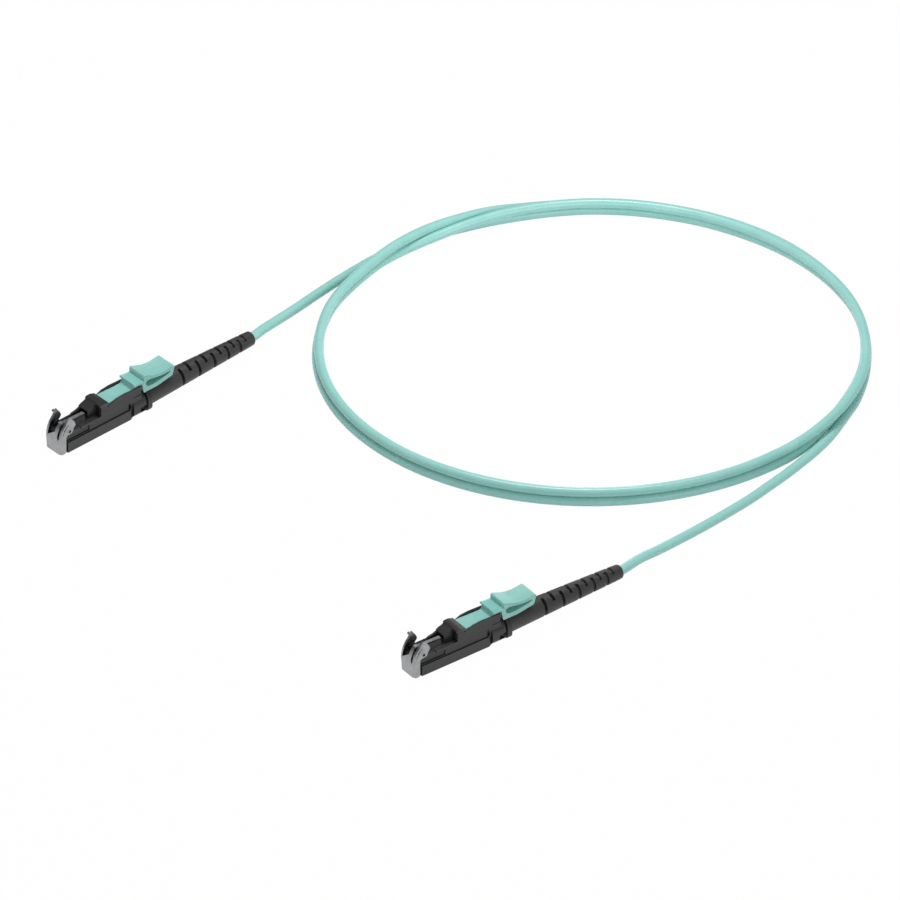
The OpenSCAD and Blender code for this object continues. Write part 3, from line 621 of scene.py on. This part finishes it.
def slot_tree(material):
    """Node tree that cuts its slots into the geometry it is given."""
    tree = bpy.data.node_groups.new("boot_slots", "GeometryNodeTree")
    face = tree.interface
    face.new_socket("Geometry", in_out="INPUT", socket_type="NodeSocketGeometry")
    for name, value in SLOT_INPUTS.items():
        kind = "NodeSocketInt" if isinstance(value, int) else "NodeSocketFloat"
        face.new_socket(name, in_out="INPUT", socket_type=kind)
    face.new_socket("Geometry", in_out="OUTPUT", socket_type="NodeSocketGeometry")
    given = add(tree, "NodeGroupInput").outputs
    # one block, bent round the axis
    cube = add(tree, "GeometryNodeMeshCube", {"Vertices Y": BLOCK_POINTS})
    spot = add(tree, "GeometryNodeInputPosition")
    spot = add(tree, "ShaderNodeSeparateXYZ", {0: spot.outputs[0]}).outputs
    angle = add(tree, "ShaderNodeMath", {0: spot["Y"], 1: given["Arc"]}, operation="MULTIPLY")
    cosine = add(tree, "ShaderNodeMath", {0: angle.outputs[0]}, operation="COSINE")
    sine = add(tree, "ShaderNodeMath", {0: angle.outputs[0]}, operation="SINE")
    reach = add(tree, "ShaderNodeMath", {0: spot["X"], 1: 0.5}, operation="ADD")
    reach = add(tree, "ShaderNodeMath", {
        0: reach.outputs[0], 1: given["Reach"], 2: given["Floor radius"]}, operation="MULTIPLY_ADD")
    along = add(tree, "ShaderNodeMath", {0: spot["Z"], 1: given["Width"]}, operation="MULTIPLY")
    across = add(tree, "ShaderNodeMath", {0: reach.outputs[0], 1: cosine.outputs[0]},
                 operation="MULTIPLY")
    upward = add(tree, "ShaderNodeMath", {0: reach.outputs[0], 1: sine.outputs[0]},
                 operation="MULTIPLY")
    bent = add(tree, "ShaderNodeCombineXYZ", {
        "X": along.outputs[0], "Y": across.outputs[0], "Z": upward.outputs[0]})
    bent = add(tree, "GeometryNodeSetPosition", {
        "Geometry": cube.outputs[0], "Position": bent.outputs[0]})
    # a row of points, closer together towards the tip
    row = add(tree, "GeometryNodeMeshLine", {"Count": given["Slots"]})
    index = add(tree, "GeometryNodeInputIndex").outputs[0]
    pairs = add(tree, "ShaderNodeMath", {0: index, 1: 0.5, 2: -0.5}, operation="MULTIPLY_ADD")
    pairs = add(tree, "ShaderNodeMath", {0: index, 1: pairs.outputs[0]}, operation="MULTIPLY")
    closing = add(tree, "ShaderNodeMath", {0: pairs.outputs[0], 1: given["Closing"]},
                  operation="MULTIPLY")
    along = add(tree, "ShaderNodeMath", {0: index, 1: given["Pitch"], 2: given["First"]},
                operation="MULTIPLY_ADD")
    along = add(tree, "ShaderNodeMath", {0: along.outputs[0], 1: closing.outputs[0]},
                operation="SUBTRACT")
    at = add(tree, "ShaderNodeCombineXYZ", {"X": along.outputs[0], "Z": given["Axis height"]})
    row = add(tree, "GeometryNodeSetPosition", {
        "Geometry": row.outputs[0], "Position": at.outputs[0]})
    # every other slot opens on the opposite side
    odd = add(tree, "ShaderNodeMath", {0: index, 1: 2.0}, operation="MODULO")
    odd = add(tree, "ShaderNodeMath", {0: odd.outputs[0], 1: 1.0}, operation="ADD")
    turn = add(tree, "ShaderNodeMath", {0: odd.outputs[0], 1: math.pi, 2: given["Turn"]},
               operation="MULTIPLY_ADD").outputs[0]
    turn = add(tree, "ShaderNodeCombineXYZ", {"X": turn})
    blocks = add(tree, "GeometryNodeInstanceOnPoints", {
        "Points": row.outputs[0], "Instance": bent.outputs[0], "Rotation": turn.outputs[0]})
    blocks = add(tree, "GeometryNodeRealizeInstances", {0: blocks.outputs[0]})
    cut = add(tree, "GeometryNodeMeshBoolean", {"Mesh 1": given["Geometry"]},
              operation="DIFFERENCE")
    tree.links.new(blocks.outputs[0], cut.inputs["Mesh 2"])
    whole = add(tree, "GeometryNodeRealizeInstances", {0: cut.outputs[0]})
    whole = add(tree, "GeometryNodeSetMaterial", {
        "Geometry": whole.outputs[0], "Material": material})
    add(tree, "NodeGroupOutput", {"Geometry": whole.outputs[0]})
    return tree


def grown(mesh, tree, values):
    """The mesh after a node tree, with its named inputs set."""
    holder = bpy.data.objects.new("holder", mesh)
    bpy.context.scene.collection.objects.link(holder)
    modifier = holder.modifiers.new("nodes", "NODES")
    modifier.node_group = tree
    for item in tree.interface.items_tree:
        if item.in_out == "INPUT" and item.name in values:
            modifier[item.identifier] = values[item.name]
    graph = bpy.context.evaluated_depsgraph_get()
    graph.update()
    result = bpy.data.meshes.new_from_object(holder.evaluated_get(graph))
    holder.modifiers.remove(modifier)
    bpy.data.objects.remove(holder)
    return result


def make_boots():
    """Bend relief: a long taper from the ring to the cable, its tip rounded, slots down each
    side."""
    over_crimp, spigot, shoulder, tip, bore = 2.4, 3.0, 3.7, 2.3, 1.55  # radii
    taper_steps, round_steps = 28, 6
    profile = [
        (BOOT_X - 1.2, over_crimp), (BOOT_X - 1.2, spigot), (BOOT_X, spigot), (BOOT_X, 3.45),
        (BOOT_X + 0.12, 3.62), (BOOT_X + 0.4, shoulder),
    ]
    for k in range(1, taper_steps):
        x = BOOT_X + 0.4 + (BOOT_END - BOOT_X - 1.5) * k / taper_steps
        profile.append((x, shoulder + (tip - shoulder) * (x - BOOT_X) / (BOOT_END - BOOT_X)))
    for k in range(round_steps + 1):
        a = math.radians(90 * k / round_steps)
        profile.append((BOOT_END - 0.7 * (1 - math.sin(a)), tip - 0.68 * (1 - math.cos(a)) - 0.02))
    profile += [(BOOT_END, bore), (BOOT_X + 6, bore), (BOOT_X + 6, over_crimp)]
    mesh = grown(turned(profile), slot_tree(boot_elastomer), SLOT_INPUTS)
    mesh = softened(cleaned(mesh, flat=1e-4), radius=0.1, angle=50)
    for plug in PLUGS:
        put(mesh, f"slotted_boot_{plug}", plug, "cord", boot_elastomer,
            [f"boot_{plug}"])


make_boots()

# ---------------------------------------------------------------- housing and ring


def make_housings():
    """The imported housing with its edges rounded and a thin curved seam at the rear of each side,
    and the ring behind it."""
    depth = 0.3
    line = flowing([(31.3, 7.55), (31.9, 7.75), (32.2, 8.2), (32.25, 9)], 0.2)
    seam = [(p.x - 0.1, p.y) for p in line] + [(p.x + 0.12, p.y) for p in reversed(line)]
    cuts = [prism(seam, -HALF_W - 1, -HALF_W + depth), prism(seam, HALF_W - depth, HALF_W + 1)]
    mesh = combined(cad_copy("plug_body_a"), cuts, "DIFFERENCE")
    mesh = softened(cleaned(mesh), radius=0.12)
    ring_mesh = softened(cad_copy("boot_collar_a"), radius=0.2)
    for plug in PLUGS:
        put(mesh, f"housing_{plug}", plug, "cord", housing_polyester,
            [f"plug_body_{plug}"])
        put(ring_mesh, f"rear_ring_{plug}", plug, "cord", housing_polyester,
            [f"boot_collar_{plug}"])


make_housings()

# ---------------------------------------------------------------- lever


def make_levers():
    """Press lever: a flat tongue from its hinge to a raised ledge, and a hollow-topped thumb pad
    with a pocket in each side."""
    half_tongue, half_web = 2.75, 0.8  # the web is what the two pockets leave between them
    pivot = (17.4, DECK_Z + 2.2)
    barrel, pin_bore = 0.85, 0.55  # radii at the hinge
    tongue_top = flowing([(24, 10), (27, 9.9), (28.6, 9.87)], 0.8)
    tongue = [
        (17.4, 10.0), (19.4, 10.15), *[tuple(p) for p in tongue_top],
        (29.1, 10.05), (29.45, 10.5), (29.6, 11.2), (29.5, 12.2), (33.4, 11.75), (34.1, 9.6),
        (30, 8.9), (24, 9.1), (19.4, 9.2), (17.4, 8.4),
    ]
    ledge = [
        (29.65, 11.35), (29.45, 11.75), (29.5, 12.2), (31.5, 11.85), (33.9, 11.75), (33.9, 11.2),
    ]
    top = flowing([
        (33.42, 13.2), (33.7, 13.52), (34.6, 13.25), (35.7, 12.85), (37.5, 12.15), (39.3, 11.76),
        (41.3, 11.6), (43, 11.75), (44.4, 11.97), (45.2, 11.9), (45.6, 11.6),
    ], 0.35)
    under = flowing([
        (44.7, 8.6), (41, 7.95), (37.5, 7.4), (34.9, 6.87), (34.2, 6.85), (33.75, 7.0),
        (33.3, 7.7), (33.1, 8.5),
    ], 0.35)
    pad = [(32.6, 11.2), (32.6, 11.75), (33.4, 11.75), *[tuple(p) for p in top],
           *[tuple(p) for p in under]]
    pocket = flowing([
        (35, 9.25), (34.3, 9.9), (34.15, 10.8), (34.6, 11.35), (36, 11.4), (38.5, 10.95),
        (41, 10.6), (43.4, 10.65), (44.1, 10.55), (43.6, 10.15), (40, 9.45), (37, 9.05),
        (35, 9.25),
    ], 0.3)[:-1]
    pocket = [tuple(p) for p in pocket]
    over_boot = turned([(31.7, 5.15), (47, 5.15)], closed=False)
    mesh = combined(prism(pad, -HALF_W, HALF_W), [
        prism(ledge, -HALF_W, HALF_W), prism(tongue, -half_tongue, half_tongue),
        cross_bar(*pivot, barrel, -half_tongue, half_tongue)], "UNION")
    mesh = combined(mesh, [
        over_boot, prism(pocket, -HALF_W - 1, -half_web), prism(pocket, half_web, HALF_W + 1),
        cross_bar(*pivot, pin_bore, -HALF_W, HALF_W)], "DIFFERENCE")
    mesh = softened(cleaned(mesh), radius=0.16, segments=3)
    for plug in PLUGS:
        put(mesh, f"press_lever_{plug}", plug, f"lever_{plug}", lever_abs,
            [f"lever_{plug}"])


make_levers()

# ---------------------------------------------------------------- shutter

SHEET = 0.25  # thickness of the steel
SHUTTER_PIVOT = (3.6, 7.6)
# The front as seen from the side, from its foot up: (x, z)
FRONT_LINE = [
    (0.05, 0.2), (-0.15, 3), (-0.3, 5.3), (0.05, 7.45), (0.85, 9.3), (1.95, 10.75), (2.65, 11.9),
    (3.05, 12.5),
]


def front_x(z):
    """Where the shutter's front lies at a height."""
    for (x0, z0), (x1, z1) in zip(FRONT_LINE, FRONT_LINE[1:]):
        if z <= z1:
            return x0 + (x1 - x0) * max(0.0, (z - z0) / (z1 - z0))
    return FRONT_LINE[-1][0]


def folded(outline, half, bend):
    """A prism across the plug whose front edges are rounded, as sheet bent round to the cheeks."""
    steps = [(half - bend * (1 - math.sin(a)), bend * (1 - math.cos(a)))
             for a in (math.radians(90 * k / 5) for k in range(6))]
    rows = [(-y, inset) for y, inset in reversed(steps)] + steps
    fade = 2.2  # distance behind the front over which the rounding ends
    shape = bmesh.new()
    rings = [[
        shape.verts.new((x + inset * max(0.0, 1 - max(0.0, x - front_x(z)) / fade), y, z))
        for x, z in outline] for y, inset in rows]
    for ring, other in zip(rings, rings[1:]):
        for i in range(len(outline)):
            j = (i + 1) % len(outline)
            shape.faces.new((ring[i], other[i], other[j], ring[j]))
    shape.faces.new(rings[0])
    shape.faces.new(rings[-1])
    bmesh.ops.recalc_face_normals(shape, faces=shape.faces)
    return mesh_of(shape)


def end_prism(outline, low, high):
    """Closed mesh of a (y, z) outline drawn out along the plug from x low to x high."""
    mesh = prism(outline, low, high)
    swap_xy = Matrix(((0, 1, 0, 0), (1, 0, 0, 0), (0, 0, 1, 0), (0, 0, 0, 1)))
    mesh.transform(swap_xy)
    mesh.flip_normals()  # swapping two axes turns the shape inside out
    return mesh


def make_shutters():
    """Shutter stamped from sheet: a front that leans back at the top, two cheeks bent from it, a
    slit and a wide opening that leave a tongue with a rolled tip, and a rib, a slot and a rim
    round the hinge hole on each cheek."""
    # radii
    bend, inner_bend, heel_radius, foot_radius = 0.7, 0.45, 0.8, 0.9
    hinge_hole, rim, rib_radius, rolled_tip, knob = 0.5, 0.78, 0.13, 0.27, 0.5
    above, behind, below = 14, 9, -1  # past every edge of the sheet
    through = (-1, 3.6)  # x range that a cut through the front takes in
    quarter_turn = [math.radians(15 * k) for k in range(7)]
    front = [tuple(p) for p in flowing(FRONT_LINE, 0.35)]
    back = [tuple(p) for p in flowing([
        (3.9, 12.2), (4.9, 11.2), (5.65, 9.95), (5.85, 9.1), (5.5, 8.5), (5.1, 8.1), (4.95, 7.4),
        (4.5, 6.8), (3.6, 6.62), (2.7, 6.5), (2.35, 6.1), (2.2, 5.5)], 0.3)]
    # the lower rear corner of the cheeks, up into the front's foot
    heel = [(1.4 + heel_radius * math.cos(a), 1.0 - heel_radius * math.sin(a))
            for a in quarter_turn]
    outer = folded([*front, *back, *heel], HALF_W, bend)
    hollow = folded([
        *[(x + SHEET, z) for x, z in front[:-1]],
        (front[-1][0] + SHEET, above), (behind, above), (behind, below), (SHEET, below),
    ], HALF_W - SHEET, inner_bend)
    mesh = combined(outer, [hollow], "DIFFERENCE")
    rib = flowing([(0.95, 6.9), (1.15, 7.6), (1.75, 8.7), (2.4, 9.5), (3.1, 10.1)], 0.3)
    cheek_slot = [(1.2, 8.75), (1.4, 8.55), (2.15, 9.25), (1.95, 9.45)]
    proud = [
        cross_bar(1.95, 10.1, rolled_tip, -1.8, -0.55),
        cross_bar(2.8, 12.25, knob, 2.3, HALF_W),
    ]
    sunk = [cross_bar(*SHUTTER_PIVOT, hinge_hole, -HALF_W - 1, HALF_W + 1)]
    for side in (-1, 1):
        face = side * HALF_W
        proud += [
            cross_bar(*SHUTTER_PIVOT, rim, *sorted((face + 0.06 * side, face - 0.1 * side))),
            tube([Vector((x, face + 0.02 * side, z)) for x, z in rib], rib_radius, 8),
        ]
        sunk.append(prism(cheek_slot, *sorted((face + 1 * side, face - 0.14 * side))))
    mesh = combined(mesh, proud, "UNION")
    # the front's lower corners are cut away in a curve
    foot = [(-HALF_W - 0.3, -0.1), (-2.4, -0.1), (-2.4, 0.2)]
    foot += [(-2.5 - foot_radius * math.sin(a), 1.1 - foot_radius * math.cos(a))
             for a in quarter_turn]
    foot += [(-HALF_W - 0.3, 1.1)]
    other_foot = [(-y, z) for y, z in foot]
    # what is cut out of the front, which leaves a tongue between two tabs
    opening = [(2.3, 5.6), (2.3, above), (-0.55, above), (-0.55, 7.8)]
    slit = [(-2.3, 5.3), (-1.85, 6.2), (-1.85, above), (-2.7, above), (-2.7, 6.2)]
    over_tongue = [(-2, 10.35), (0, 10.35), (0, above), (-2, above)]
    sunk += [end_prism(cut, -0.5, 0.45) for cut in (foot, other_foot)]
    sunk += [end_prism(cut, *through) for cut in (opening, slit, over_tongue)]
    mesh = combined(mesh, sunk, "DIFFERENCE")
    mesh = softened(cleaned(mesh), radius=0.05)
    for plug in PLUGS:
        put(mesh, f"steel_shutter_{plug}", plug, f"shutter_{plug}", stamped_steel,
            [f"shutter_{plug}"])


make_shutters()
